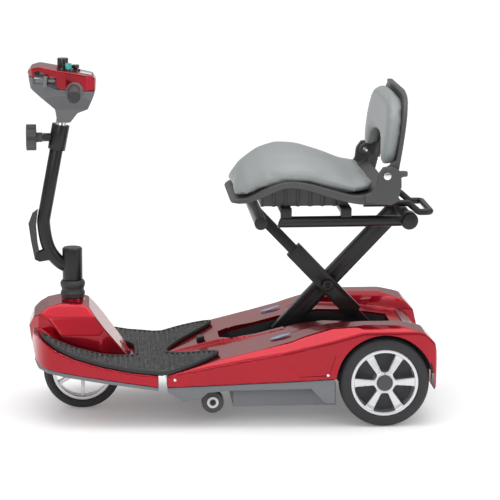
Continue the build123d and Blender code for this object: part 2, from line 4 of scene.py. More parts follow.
import bpy
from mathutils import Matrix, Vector


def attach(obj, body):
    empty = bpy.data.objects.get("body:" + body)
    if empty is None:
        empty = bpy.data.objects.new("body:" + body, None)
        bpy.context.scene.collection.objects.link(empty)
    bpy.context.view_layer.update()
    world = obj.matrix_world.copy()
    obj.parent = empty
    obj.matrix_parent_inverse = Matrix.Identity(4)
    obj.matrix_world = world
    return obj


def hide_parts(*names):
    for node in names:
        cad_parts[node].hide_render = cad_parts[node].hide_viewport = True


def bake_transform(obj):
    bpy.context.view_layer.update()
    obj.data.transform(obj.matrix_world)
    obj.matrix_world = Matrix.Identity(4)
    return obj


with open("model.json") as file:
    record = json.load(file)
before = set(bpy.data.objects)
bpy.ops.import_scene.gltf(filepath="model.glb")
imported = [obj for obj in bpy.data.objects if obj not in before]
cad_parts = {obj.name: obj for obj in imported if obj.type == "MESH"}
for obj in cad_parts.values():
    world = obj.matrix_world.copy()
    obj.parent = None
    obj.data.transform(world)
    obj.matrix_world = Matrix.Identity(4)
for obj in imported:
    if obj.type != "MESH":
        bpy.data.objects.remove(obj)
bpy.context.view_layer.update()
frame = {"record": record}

BODY_OF = {node: body for body, nodes in
           frame["record"]["behaviour"]["bodies"].items() for node in nodes}

# %% [markdown]
# # A folding three-wheel mobility scooter
# The frame that was just loaded holds every part of the scooter at its real place, in metres,
# with the front at -X and the floor at Z = 0. This lesson gives each part the surface that a
# visitor would see: lacquered shells, a ribbed mat, vinyl cushions, tyres and cast wheels.

# %% Helpers for selecting and finishing
MM = 0.001


def deselect():
    """Leaves nothing selected and no edit mode open."""
    if bpy.context.object and bpy.context.object.mode != "OBJECT":
        bpy.ops.object.mode_set(mode="OBJECT")
    bpy.ops.object.select_all(action="DESELECT")


def select(piece):
    """Makes one piece the only selected and active one."""
    deselect()
    piece.hide_set(False)
    piece.select_set(True)
    bpy.context.view_layer.objects.active = piece


def apply_modifier(piece, kind, **settings):
    """Adds a modifier with its settings and applies it."""
    select(piece)
    modifier = piece.modifiers.new(kind.title(), kind)
    for key, value in settings.items():
        setattr(modifier, key, value)
    bpy.ops.object.modifier_apply(modifier=modifier.name)


def place_in_mesh(piece):
    """Moves a piece's place, turn and scale into its mesh."""
    select(piece)
    bpy.ops.object.transform_apply(location=True, rotation=True, scale=True)


def copied(node):
    """A piece with its own copy of a frame part's mesh."""
    piece = bpy.data.objects.new(node + "_finished", bpy.data.objects[node].data.copy())
    bpy.context.scene.collection.objects.link(piece)
    return piece


def tidy_mesh(piece, distance=0.00002):
    """Merges doubled points and turns every face outwards."""
    select(piece)
    bpy.ops.object.mode_set(mode="EDIT")
    bpy.ops.mesh.select_all(action="SELECT")
    bpy.ops.mesh.remove_doubles(threshold=distance)
    bpy.ops.mesh.normals_make_consistent(inside=False)
    bpy.ops.object.mode_set(mode="OBJECT")


def smooth(piece, angle):
    """Shades a piece smooth, except across edges sharper than angle."""
    select(piece)
    bpy.ops.object.shade_smooth_by_angle(angle=radians(angle))


def dress(piece, body, material, replaces=(), angle=35):
    """Gives a piece its finish, its body and the frame parts that it stands for."""
    piece.data.materials.clear()
    piece.data.materials.append(material)
    smooth(piece, angle)
    if body:                # a piece that bends across a joint gets no body
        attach(piece, body)
    if replaces:
        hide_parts(*replaces)
    print("piece", piece.name, len(piece.data.polygons), "faces")
    return piece


# %% [markdown]
# ## Finishes
# Each finish is one node material. A shared helper sets the shader's own sockets and adds the
# two things every moulded or painted surface has: a slow drift of tone and a fine relief.

# %% Material helper
def finish(name, colour, rough=0.4, metallic=0.0, coat=0.0, coat_rough=0.03, grain=400.0,
           relief=0.05, depth=0.0002, drift=0.06, specular=0.5, sheen=0.0, speck=None,
           rough_drift=0.08):
    """A procedural finish with drifting tone, drifting gloss and fine relief."""
    material = bpy.data.materials.new(name)
    material.use_nodes = True
    nodes, links = material.node_tree.nodes, material.node_tree.links
    shader = nodes["Principled BSDF"]
    shader.inputs["Base Color"].default_value = (*colour, 1)
    shader.inputs["Metallic"].default_value = metallic
    shader.inputs["Roughness"].default_value = rough
    shader.inputs["Coat Weight"].default_value = coat
    shader.inputs["Coat Roughness"].default_value = coat_rough
    shader.inputs["Specular IOR Level"].default_value = specular
    shader.inputs["Sheen Weight"].default_value = sheen
    place = nodes.new("ShaderNodeTexCoord")
    slow = nodes.new("ShaderNodeTexNoise")
    slow.inputs["Scale"].default_value = 7.0
    slow.inputs["Detail"].default_value = 3.0
    links.new(place.outputs["Object"], slow.inputs["Vector"])
    ramp = nodes.new("ShaderNodeValToRGB")
    dark = [max(0.0, c * (1 - drift)) for c in colour]
    light = [min(1.0, c * (1 + drift)) for c in colour]
    ramp.color_ramp.elements[0].position = 0.3
    ramp.color_ramp.elements[1].position = 0.7
    ramp.color_ramp.elements[0].color = (*dark, 1)
    ramp.color_ramp.elements[1].color = (*light, 1)
    links.new(slow.outputs["Fac"], ramp.inputs["Fac"])
    colour_out = ramp.outputs["Color"]
    fine = nodes.new("ShaderNodeTexNoise")
    fine.inputs["Scale"].default_value = grain
    fine.inputs["Detail"].default_value = 4.0
    links.new(place.outputs["Object"], fine.inputs["Vector"])
    if speck:
        share, speck_colour, size = speck
        flecks = nodes.new("ShaderNodeTexVoronoi")
        flecks.inputs["Scale"].default_value = size
        links.new(place.outputs["Object"], flecks.inputs["Vector"])
        pick = nodes.new("ShaderNodeValToRGB")
        pick.color_ramp.interpolation = "CONSTANT"
        pick.color_ramp.elements[0].color = (0, 0, 0, 1)
        pick.color_ramp.elements[1].color = (1, 1, 1, 1)
        pick.color_ramp.elements[1].position = 1 - share
        gate = nodes.new("ShaderNodeSeparateColor")
        links.new(flecks.outputs["Color"], gate.inputs["Color"])
        links.new(gate.outputs["Red"], pick.inputs["Fac"])
        blend = nodes.new("ShaderNodeMix")
        blend.data_type = "RGBA"
        blend.inputs["B"].default_value = (*speck_colour, 1)
        links.new(pick.outputs["Color"], blend.inputs["Factor"])
        links.new(colour_out, blend.inputs["A"])
        colour_out = blend.outputs["Result"]
    links.new(colour_out, shader.inputs["Base Color"])
    gloss = nodes.new("ShaderNodeMapRange")
    gloss.inputs["To Min"].default_value = max(0.02, rough * (1 - rough_drift))
    gloss.inputs["To Max"].default_value = min(1.0, rough * (1 + rough_drift))
    links.new(slow.outputs["Fac"], gloss.inputs["Value"])
    links.new(gloss.outputs["Result"], shader.inputs["Roughness"])
    bump = nodes.new("ShaderNodeBump")
    bump.inputs["Strength"].default_value = relief
    bump.inputs["Distance"].default_value = depth
    links.new(fine.outputs["Fac"], bump.inputs["Height"])
    links.new(bump.outputs["Normal"], shader.inputs["Normal"])
    return material


# %% The finishes of this scooter
RED = finish("candy_red", (0.34, 0.001, 0.011), rough=0.26, metallic=0.8, coat=0.6,
             coat_rough=0.012, grain=2600, relief=0.04, depth=0.0001, drift=0.08, specular=0.2,
             speck=(0.14, (0.50, 0.006, 0.025), 2400))
GREY = finish("satin_grey", (0.155, 0.163, 0.178), rough=0.42, coat=0.15, coat_rough=0.3,
              grain=900, relief=0.12)
DARK_GREY = finish("head_grey", (0.13, 0.133, 0.142), rough=0.42, coat=0.15, coat_rough=0.3,
                   grain=900, relief=0.12)
CHARCOAL = finish("grained_charcoal", (0.062, 0.060, 0.062), rough=0.5, grain=700, relief=0.25,
                  depth=0.0003)
BLACK = finish("powder_black", (0.009, 0.009, 0.010), rough=0.34, coat=0.12, coat_rough=0.2,
               grain=1500, relief=0.2, depth=0.0002, specular=0.35)
GLOSS_BLACK = finish("gloss_black", (0.008, 0.008, 0.009), rough=0.2, coat=0.5, coat_rough=0.05,
                     grain=600, relief=0.03)
SILVER = finish("silver_lacquer", (0.50, 0.51, 0.53), rough=0.3, metallic=0.7, coat=0.5,
                coat_rough=0.1, grain=1800, relief=0.08)
ALLOY = finish("cast_alloy", (0.66, 0.67, 0.69), rough=0.3, metallic=0.75, coat=0.5,
               coat_rough=0.12, grain=1500, relief=0.08)
CHROME = finish("chrome", (0.80, 0.80, 0.81), rough=0.12, metallic=1.0, grain=500, relief=0.02)
TYRE = finish("tyre_rubber", (0.020, 0.020, 0.022), rough=0.62, grain=1100, relief=0.3,
              depth=0.0004, drift=0.2)
MAT = finish("speckled_mat", (0.028, 0.028, 0.030), rough=0.8, grain=900, relief=0.5,
             depth=0.0006, drift=0.25, speck=(0.22, (0.17, 0.17, 0.17), 520))
MAT_RIM = finish("mat_rim", (0.022, 0.022, 0.024), rough=0.6, grain=900, relief=0.3,
                 depth=0.0003)
BOOT = finish("boot_rubber", (0.028, 0.028, 0.030), rough=0.5, grain=700, relief=0.25)
VINYL = finish("grey_vinyl", (0.265, 0.285, 0.285), rough=0.42, coat=0.08, coat_rough=0.3,
               grain=1300, relief=0.35, depth=0.00035, drift=0.04)
LENS = finish("red_lens", (0.20, 0.003, 0.006), rough=0.12, coat=1.0, coat_rough=0.02,
              grain=300, relief=0.05)
BADGE = finish("plain_badge", (0.30, 0.40, 0.60), rough=0.18, metallic=0.6, coat=1.0)
TEAL = finish("teal_plastic", (0.01, 0.42, 0.37), rough=0.3, coat=0.4)
PANEL = finish("pale_panel", (0.72, 0.73, 0.74), rough=0.18, coat=0.8)
print(len(bpy.data.materials), "finishes")

# %% [markdown]
# ## How the moulded bodies are made
# A moulded shell starts as a solid cut from its side, top and front outlines. Remeshing and
# relaxing rounds every crease as a mould does, and the hollow and the openings are cut last.

# %% Places on the scooter, in millimetres
SIDES = ((-1, "left"), (1, "right"))
REAR_AXLE = (334, 101.5)
REAR_WHEEL_RADIUS = 101.5
FRONT_AXLE = (-342, 90)
FRONT_WHEEL_RADIUS = 90
ROLLER_AXLE = (-49.6, 50)
STEERING_X = -362
BACKREST_PIVOT = (336, 569)

# %% Helpers for solids
def prism(name, points, across, low, high, lift=0.0):
    """A solid with an outline in millimetres, drawn out along one axis, rising by lift."""
    deselect()
    bpy.ops.mesh.primitive_circle_add(vertices=len(points), fill_type="NGON")
    piece = bpy.context.object
    piece.name = name
    for vertex, (a, b) in zip(piece.data.vertices, points):
        spot = {"X": (low, a, b), "Y": (a, low, b), "Z": (a, b, low)}[across]
        vertex.co = Vector(spot) * MM
    depth = high - low
    move = {"X": (depth, 0, lift), "Y": (0, depth, lift), "Z": (0, 0, depth)}[across]
    bpy.ops.object.mode_set(mode="EDIT")
    bpy.ops.mesh.select_all(action="SELECT")
    bpy.ops.mesh.extrude_region_move(TRANSFORM_OT_translate={"value": Vector(move) * MM})
    bpy.ops.mesh.select_all(action="SELECT")
    bpy.ops.mesh.normals_make_consistent(inside=False)
    bpy.ops.object.mode_set(mode="OBJECT")
    return piece


def drum(name, centre, radius, across, length, sides=64):
    """A round solid centred at a point in millimetres along one axis."""
    turn = {"X": (0, pi / 2, 0), "Y": (pi / 2, 0, 0), "Z": (0, 0, 0)}[across]
    deselect()
    bpy.ops.mesh.primitive_cylinder_add(vertices=sides, radius=radius * MM, depth=length * MM,
                                        location=Vector(centre) * MM, rotation=turn)
    piece = bpy.context.object
    piece.name = name
    place_in_mesh(piece)
    return piece


def combine(piece, how, *tools):
    """Adds, keeps or takes away other solids, which are then gone."""
    for tool in tools:
        apply_modifier(piece, "BOOLEAN", operation=how, object=tool, solver="MANIFOLD")
        bpy.data.objects.remove(tool)
    return piece


def soften(piece, voxel, passes):
    """Rounds every crease by remeshing and relaxing the surface."""
    apply_modifier(piece, "REMESH", mode="VOXEL", voxel_size=voxel * MM)
    apply_modifier(piece, "SMOOTH", factor=0.5, iterations=passes)
    return piece


def shrunk(points, amount):
    """An outline with every side moved inwards."""
    count = len(points)
    area = sum(points[k - 1][0] * points[k][1] - points[k][0] * points[k - 1][1]
               for k in range(count))
    turn = 1 if area > 0 else -1
    result = []
    for k in range(count):
        (ax, ay), (bx, by), (cx, cy) = points[k - 1], points[k], points[(k + 1) % count]
        one, two = hypot(bx - ax, by - ay), hypot(cx - bx, cy - by)
        n1 = (-(by - ay) / one * turn, (bx - ax) / one * turn)
        n2 = (-(cy - by) / two * turn, (cx - bx) / two * turn)
        scale = amount / max(0.3, 1 + n1[0] * n2[0] + n1[1] * n2[1])
        result.append((bx + (n1[0] + n2[0]) * scale, by + (n1[1] + n2[1]) * scale))
    return result


def mirrored(points):
    """Closes a half outline of (along, half width) points with its other side."""
    return [(a, -b) for a, b in points] + [(a, b) for a, b in reversed(points)]


def facing(points):
    """Closes a half outline of (half width, height) points with its other side."""
    return [(b, a) for a, b in mirrored([(b, a) for a, b in points])]


def either_side(sign, near, far):
    """The two limits across the scooter, in order, of a piece on one side of it."""
    return sorted((sign * near, sign * far))


def curved(points, steps=6):
    """A half outline drawn as a smooth curve through its points."""
    ends = [points[0]] + list(points) + [points[-1]]
    result = []
    for a, b, c, d in zip(ends, ends[1:], ends[2:], ends[3:]):
        for k in range(steps):
            t = k / steps
            result.append(tuple(0.5 * (2 * q + (r - p) * t + (2 * p - 5 * q + 4 * r - w) * t * t
                                       + (3 * q - p - 3 * r + w) * t ** 3)
                                for p, q, r, w in zip(a, b, c, d)))
    return result + [points[-1]]


def turned(name, profile, centre, steps=96):
    """A ring made by spinning a closed profile of (radius, y) points about a Y axis."""
    deselect()
    bpy.ops.mesh.primitive_circle_add(vertices=len(profile), fill_type="NOTHING")
    piece = bpy.context.object
    piece.name = name
    x, z = centre
    for vertex, (radius, y) in zip(piece.data.vertices, profile):
        vertex.co = Vector((x + radius, y, z)) * MM
    bpy.ops.object.mode_set(mode="EDIT")
    bpy.ops.mesh.select_all(action="SELECT")
    bpy.ops.mesh.spin(steps=steps, angle=2 * pi, center=Vector((x, 0, z)) * MM, axis=(0, 1, 0))
    bpy.ops.object.mode_set(mode="OBJECT")
    tidy_mesh(piece, 0.0001)
    return piece


# %% [markdown]
# ## Front footrest shell
# The footrest and the fairing round the steering head are one moulding, so they are joined
# before they are rounded. The neck is added after that, to stay a true cylinder, and a small
# oval finger loop stands at the foot of the sloping back.

# %% Front shell
FOOT_SIDE = [(-172.5, 121), (-235, 128), (-300, 141), (-360, 158), (-405, 178), (-440, 203),
             (-452, 198), (-456, 172), (-447, 143), (-436, 134), (-172.5, 94)]
FOOT_PLAN = [(-172.5, 208), (-300, 200), (-380, 188), (-420, 168), (-444, 128), (-456, 70),
             (-459, 20)]
FAIRING_SIDE = [(-228, 121), (-326, 250), (-340, 256), (-388, 259), (-420, 251), (-452, 228),
                (-463, 204), (-457, 165), (-436, 141), (-300, 121)]
FAIRING_PLAN = [(-222, 30), (-240, 62), (-300, 92), (-390, 92), (-440, 72), (-463, 34)]
FAIRING_FRONT = [(104, 118), (92, 190), (80, 230), (52, 262)]
SHELL_WALL = 4.5

foot = prism("foot", FOOT_SIDE, "Y", -240, 240)
combine(foot, "INTERSECT", prism("plan", mirrored(curved(FOOT_PLAN, 4)), "Z", 60, 300))
front_shell = prism("front_shell_finished", FAIRING_SIDE, "Y", -130, 130)
combine(front_shell, "INTERSECT", prism("plan", mirrored(FAIRING_PLAN), "Z", 60, 320),
        prism("front", facing(FAIRING_FRONT), "X", -500, -200))
combine(front_shell, "UNION", foot)
soften(front_shell, 2.2, 3)
neck = drum("neck", (STEERING_X, 0, 252), 27, "Z", 18)
combine(front_shell, "UNION", neck)
inner_plan = shrunk(mirrored(FOOT_PLAN), SHELL_WALL)
room = prism("room", shrunk(FOOT_SIDE, SHELL_WALL), "Y", -240, 240)
combine(room, "INTERSECT", prism("plan", inner_plan, "Z", 60, 300))
below = prism("below", [(-177, 101), (-436, 142.5), (-436, 70), (-177, 70)], "Y", -240, 240)
combine(below, "INTERSECT", prism("plan", inner_plan, "Z", 60, 300))
dome_front = shrunk(FAIRING_FRONT + [(0, 262), (0, 118)], SHELL_WALL)[:len(FAIRING_FRONT)]
dome = prism("dome", shrunk(FAIRING_SIDE, 5), "Y", -130, 130)
combine(dome, "INTERSECT", prism("plan", shrunk(mirrored(FAIRING_PLAN), 5), "Z", 60, 320),
        prism("front", facing(dome_front), "X", -500, -200))
shaft = drum("shaft", (STEERING_X, 0, 250), 19.6, "Z", 100)
combine(front_shell, "DIFFERENCE", room, below, dome, shaft)
dress(front_shell, "front_section", RED, replaces=("front_shell",), angle=50)
deselect()
bpy.ops.mesh.primitive_torus_add(major_radius=0.011, minor_radius=0.0028, major_segments=48,
                                 minor_segments=16, location=(-0.2425, 0, 0.1395),
                                 rotation=(0, radians(53), 0))
loop = bpy.context.object
loop.name = "finger_loop"
loop.scale = (1.5, 0.9, 1.0)
place_in_mesh(loop)
dress(loop, "front_section", RED)

# %% [markdown]
# ## Rear deck
# The deck is lowest at the fold, rises to the wheels and carries two fenders. A wedge is cut
# from each flank for its broad chamfer. The underside is hollow, so that the frame, the wheels
# and their liners have room, and the scissor's channel is cut through the top.

# %% Deck shell
DECK_TOP = [(-153.5, 121), (-27, 158), (57, 178), (153, 203), (210, 210), (290, 207), (404, 190)]
DECK_SIDE = DECK_TOP + [(404, 112), (222, 112), (-153.5, 93)]
FENDER_SIDE = [(100, 150), (100, 186), (153, 206), (215, 224), (290, 231), (370, 230), (425, 214),
               (448, 190), (457, 150), (450, 84), (437, 84), (431, 112), (222, 112)]
DECK_PLAN = [(-153.5, 206), (-100, 212), (32, 221), (109, 228), (215, 231.5), (430, 231.5),
             (450, 224), (457, 200)]
CHANNEL = [(-27, 30), (0, 56), (372, 66)]
FLANK_EDGE = [(190, 128), (206, 119), (240, 85), (280, 85), (280, 260), (190, 260)]
FLANK_RISE = 134.1       # how far the chamfer climbs between its two ends


def deck_plan(name, amount=0.0):
    """The deck's outline from above as a tall solid, moved inwards by amount."""
    outline = mirrored(DECK_PLAN)
    return prism(name, shrunk(outline, amount) if amount else outline, "Z", 40, 320)


def flank_cut(sign, amount):
    """The wedge above the flank's broad chamfer, moved inwards by amount."""
    edge = [(sign * (y - amount), z) for y, z in FLANK_EDGE]
    return prism("edge", edge, "X", -170, 330, lift=FLANK_RISE)


deck = prism("deck_shell_finished", DECK_SIDE, "Y", -250, 250)
combine(deck, "INTERSECT", deck_plan("plan"))
for sign in (-1, 1):
    fender = prism("fender", FENDER_SIDE, "Y", *either_side(sign, 128, 250))
    slope = [(sign * y, z) for y, z in curved([(124, 60), (128, 192), (160, 229), (200, 232),
                                               (226, 221), (233, 196), (234, 60)], 4)]
    combine(fender, "INTERSECT", deck_plan("plan"), prism("slope", slope, "X", 60, 500))
    combine(deck, "UNION", fender)
    combine(deck, "DIFFERENCE", flank_cut(sign, 0))
ridge = prism("ridge", [(-146, 127), (-27, 167), (57, 181), (120, 197), (120, 150), (-146, 110)],
              "Y", -90, 90)
combine(ridge, "INTERSECT", prism("plan", mirrored([(-146, 5), (-27, 48), (57, 72), (120, 78)]),
                                  "Z", 60, 300))
combine(deck, "UNION", ridge)
soften(deck, 2.8, 4)
room = prism("room", shrunk(DECK_SIDE, 5), "Y", -250, 250)
combine(room, "INTERSECT", deck_plan("plan", 8))
combine(room, "DIFFERENCE", flank_cut(-1, 10), flank_cut(1, 10))
below = prism("below", [(-149, 116), (222, 128), (446, 128), (446, 40), (-149, 40)], "Y",
              -250, 250)
combine(below, "INTERSECT", deck_plan("plan", 8))
combine(deck, "DIFFERENCE", room, below,
        prism("channel", mirrored(CHANNEL), "Z", 120, 300),
        prism("notch", [(395, 60), (410, 60), (410, 186), (395, 186)], "Y", -152, 152),
        prism("fold", [(-160, 99), (-149, 99), (-149, 118), (-160, 118)], "Y", -156, 156))
axle_x, axle_z = REAR_AXLE
for sign in (-1, 1):
    combine(deck, "DIFFERENCE",
            drum("arch", (axle_x, sign * 215, axle_z), 110, "Y", 76, 96),
            drum("liner_room", (axle_x, sign * 200.7, axle_z), 113.6, "Y", 56.6, 96),
            prism("facet", [(112, 155), (224, 167), (218, 148), (209, 120), (143, 118)], "Y",
                  *either_side(sign, 227.2, 240)))
dress(deck, "chassis", RED, replaces=("deck_shell",), angle=50)

# %% Small screws on the shells
def screw(name, place, body, radius=4.0):
    """A domed screw head with a drive hole, facing along Y."""
    sign = 1 if place[1] > 0 else -1
    head = drum(name, place, radius, "Y", 3.0, 24)
    bpy.ops.object.mode_set(mode="EDIT")
    bpy.ops.mesh.select_mode(type="FACE")
    bpy.ops.mesh.select_all(action="DESELECT")
    bpy.ops.object.mode_set(mode="OBJECT")
    for face in head.data.polygons:
        face.select = face.normal.y * sign > 0.9
    bpy.ops.object.mode_set(mode="EDIT")
    bpy.ops.mesh.inset(thickness=radius * 0.45 * MM, depth=0.0006)
    bpy.ops.mesh.inset(thickness=radius * 0.12 * MM, depth=-0.0012)
    bpy.ops.object.mode_set(mode="OBJECT")
    return dress(head, body, CHROME)


for sign, side_name in SIDES:
    screw(f"fold_screw_{side_name}", (-136, sign * 208.6, 112), "chassis", 3.2)
    screw(f"skirt_screw_{side_name}", (206, sign * 229.6, 122), "chassis", 3.2)

# %% [markdown]
# ## Ribbed mat
# One rubber mat runs over both halves and bends where they fold, so it is given no body.
# Its ribs are drawn in the side outline, and a plain rim frames them.

# %% Mat and its rim
MAT_LINE = [(-436, 201.8), (-405, 178.8), (-360, 158.8), (-300, 141.8), (-235, 128.8),
            (-172.5, 121.9), (-153.5, 121.9), (-30, 157.9)]
RIB_PITCH = 11.5
MAT_EDGE = [(-147.5, 1), (-140, 26), (-110, 70), (-60, 118), (-36, 150), (-38, 166), (-60, 184),
            (-100, 200), (-163, 205), (-300, 196), (-376, 184), (-414, 165), (-432, 145),
            (-430, 118), (-400, 106), (-300, 101), (-240, 70), (-222, 44)]


def mat_height(x):
    """The height of the mat's underside at x."""
    for (a, low), (b, high) in zip(MAT_LINE, MAT_LINE[1:]):
        if x <= b:
            return low + (x - a) / (b - a) * (high - low)
    return MAT_LINE[-1][1]


def mat_sheet(name, profile, pitch):
    """A sheet on the footrest whose thickness repeats the given profile along X."""
    step = pitch / len(profile)
    start, end = MAT_LINE[0][0], MAT_LINE[-1][0]
    top = []
    for k in range(int((end - start) / step) + 1):
        x = start + step * k
        top.append((x, mat_height(x) + profile[k % len(profile)]))
    return prism(name, top + MAT_LINE[::-1], "Y", -240, 240)


def mat_plan(name, amount=0.0):
    """The mat's outline from above as a tall solid, moved inwards by amount."""
    outline = mirrored(curved(MAT_EDGE[:6], 3)[:-1] + curved(MAT_EDGE[5:], 3))
    return prism(name, shrunk(outline, amount) if amount else outline, "Z", 60, 320)


mat = mat_sheet("ribbed_mat", [5.6, 5.8, 9.8, 10.2], RIB_PITCH)
combine(mat, "INTERSECT", mat_plan("plan", 6.5))
soften(mat, 1.6, 1)
dress(mat, None, MAT, replaces=("front_mat", "rear_mat"), angle=60)
rim = mat_sheet("mat_rim", [9.6, 9.6, 9.6, 9.6], 20)
combine(rim, "INTERSECT", mat_plan("plan"))
combine(rim, "DIFFERENCE", mat_plan("hole", 7.5))
soften(rim, 1.6, 3)
dress(rim, None, MAT_RIM, angle=60)
for piece in (mat, rim):
    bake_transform(piece)

# %% [markdown]
# ## Wheels
# A wheel is round about its axle, so its parts are spun from a section. Each tyre has two tread
# grooves. Six windows cut from a rear rim's face leave its flared spokes.

# %% Tyres
def tyre(name, node, body, centre, radius, seat, low, high):
    """A tyre spun from a section with soft shoulders and two tread grooves."""
    middle, half = (low + high) / 2, (high - low) / 2
    section = [(seat, -0.86), (seat + 1.5, -0.95), (seat + 6, -1.0), (seat + 12, -1.0),
               (radius - 6.5, -0.93), (radius - 2.8, -0.80), (radius - 0.9, -0.62),
               (radius - 0.2, -0.38), (radius - 2.2, -0.34), (radius - 2.2, -0.26),
               (radius, -0.22)]
    section += [(r, -w) for r, w in reversed(section)]
    ring = turned(name, [(r, middle + w * half) for r, w in section], centre, 128)
    dress(ring, body, TYRE, replaces=(node,), angle=40)


for sign, side_name in SIDES:
    tyre(f"rear_tyre_{side_name}_finished", f"rear_tyre_{side_name}", f"rear_wheel_{side_name}",
         REAR_AXLE, REAR_WHEEL_RADIUS, 76.7, *either_side(sign, 182, 231.4))
tyre("front_tyre_finished", "front_tyre", "front_wheel", FRONT_AXLE, FRONT_WHEEL_RADIUS, 70.2,
     -20, 20)


# %% Rear rims
SPOKES = 6


def window(angle, sign):
    """A wedge-shaped window between two spokes of a rear rim, cut along Y."""
    shape = [(25, -7.5), (40, -14.5), (62, -24.5), (66.5, -22), (68.5, 0), (66.5, 22), (62, 24.5),
             (40, 14.5), (25, 7.5), (23.5, 0)]
    c, s = cos(angle), sin(angle)
    outline = [(REAR_AXLE[0] + a * c - b * s, REAR_AXLE[1] + a * s + b * c) for a, b in shape]
    return prism("window", outline, "Y", *either_side(sign, 195, 240))


for sign, side_name in SIDES:
    rim = turned(f"rear_rim_{side_name}_finished",
                 [(r, sign * y) for r, y in ((76.5, 186), (76.5, 228.4), (68.8, 228.4),
                                             (68.8, 186))], REAR_AXLE)
    face = turned("face", [(8.2, sign * 186), (24, sign * 186), (24, sign * 214),
                           (72, sign * 217), (72, sign * 226), (60, sign * 223.5),
                           (25, sign * 226.5), (23, sign * 228.4), (18.2, sign * 228.4),
                           (18.2, sign * 227.4), (8.2, sign * 227.4)], REAR_AXLE)
    for k in range(SPOKES):
        combine(face, "DIFFERENCE", window(radians(360 / SPOKES * k + 30), sign))
    combine(rim, "UNION", face)
    soften(rim, 1.3, 2)
    dress(rim, f"rear_wheel_{side_name}", ALLOY,
          replaces=(f"rear_rim_{side_name}",), angle=60)
    valve = drum(f"valve_{side_name}", (334, sign * 228.6, 122.3), 1.3, "Y", 1.2, 16)
    apply_modifier(valve, "BEVEL", width=0.0003, segments=2)
    dress(valve, f"rear_wheel_{side_name}", GLOSS_BLACK)
    ring = turned(f"roller_ring_{side_name}",
                  [(r, sign * y) for r, y in ((7.4, 175.2), (13.2, 175.2), (13.2, 176.2),
                                              (12.2, 177), (8.4, 177), (7.4, 176.2))],
                  ROLLER_AXLE, 64)
    dress(ring, f"mid_wheel_{side_name}", PANEL)

# %% [markdown]
# ## Cushions
# The seat and the back pad are vinyl over foam. Each starts as a rounded solid and is blown up
# by a cloth simulation, which gives the crown of a real cushion. How far the surface may move is
# capped, so that it stays over its frame. The seat's side seam is drawn in afterwards.

# %% Cushion helpers
CLOTH_FRAMES = 20


def plumped(piece, voxel, larger, passes, cap):
    """Rounds a solid, offsets it by larger and swells it by a cloth simulation, up to cap."""
    tidy_mesh(piece)
    soften(piece, voxel, passes)
    apply_modifier(piece, "DISPLACE", strength=larger * MM, mid_level=0.0)
    before = [vertex.co.copy() for vertex in piece.data.vertices]
    select(piece)
    cloth = piece.modifiers.new("Cloth", "CLOTH")
    cloth.settings.use_pressure = True
    cloth.settings.uniform_pressure_force = 4.0
    cloth.settings.effector_weights.gravity = 0.0
    for moment in range(1, CLOTH_FRAMES + 1):
        bpy.context.scene.frame_set(moment)
    bpy.ops.object.modifier_apply(modifier=cloth.name)
    bpy.context.scene.frame_set(1)
    for vertex, start in zip(piece.data.vertices, before):
        move = vertex.co - start
        if move.length > cap * MM:
            vertex.co = start + move.normalized() * cap * MM
    apply_modifier(piece, "SMOOTH", factor=0.5, iterations=3)
    return piece


def seam(piece, distance_to_line, width, depth):
    """Pulls the surface in along a line that a function measures the distance to."""
    moves = []
    for vertex in piece.data.vertices:
        away = distance_to_line(vertex.co / MM) / width
        moves.append(vertex.normal * (-depth * MM / (1 + away ** 4)))
    for vertex, move in zip(piece.data.vertices, moves):
        vertex.co += move


# %% Seat cushion and back pad
SEAT_SIDE = [(4, 510), (30, 523), (70, 547), (112, 563), (160, 560), (215, 545), (265, 531),
             (300, 535), (318, 540)]


def seat_line(point):
    """The distance in millimetres from a point to the seat cushion's side seam."""
    for (a, low), (b, high) in zip(SEAT_SIDE, SEAT_SIDE[1:]):
        if point.x <= b:
            return abs(point.z - low - (point.x - a) / (b - a) * (high - low) - 3)
    return 50.0


cushion = plumped(copied("seat_cushion"), 5.0, 1.8, 26, 6.0)
seam(cushion, seat_line, 1.6, 1.6)
apply_modifier(cushion, "SUBSURF", levels=1)
dress(cushion, "seat", VINYL, replaces=("seat_cushion",), angle=80)
face = curved([(0, 741), (60, 740), (110, 735), (150, 719), (177, 692), (189, 655), (187, 616),
               (174, 590), (150, 584), (126, 592), (108, 614), (80, 630), (40, 636), (0, 637)], 3)
pad = prism("backrest_pad_start", [(331, 588), (357.5, 594), (379.2, 728), (372, 741), (362, 741),
                                   (351, 722)], "Y", -200, 200)
combine(pad, "INTERSECT", prism("face", facing(face[1:-1]), "X", 300, 420))
pad = plumped(pad, 4.0, 0.5, 12, 5.0)
pad.name = "backrest_pad_finished"
apply_modifier(pad, "SUBSURF", levels=1)
dress(pad, "backrest", VINYL, replaces=("backrest_pad",), angle=80)

# %% [markdown]
# ## Moulded parts with soft edges
# Moulded plastic has no sharp edge. The console's covers and the levers are rounded copies of
# the frame's parts. The backrest shell and the seat pan are drawn anew from their outlines.

# %% Softened copies of moulded parts
def softened(node, material, voxel, passes):
    """A rounded copy of a moulded frame part that stands for it."""
    piece = copied(node)
    tidy_mesh(piece)
    soften(piece, voxel, passes)
    return dress(piece, BODY_OF[node], material, replaces=(node,), angle=50)


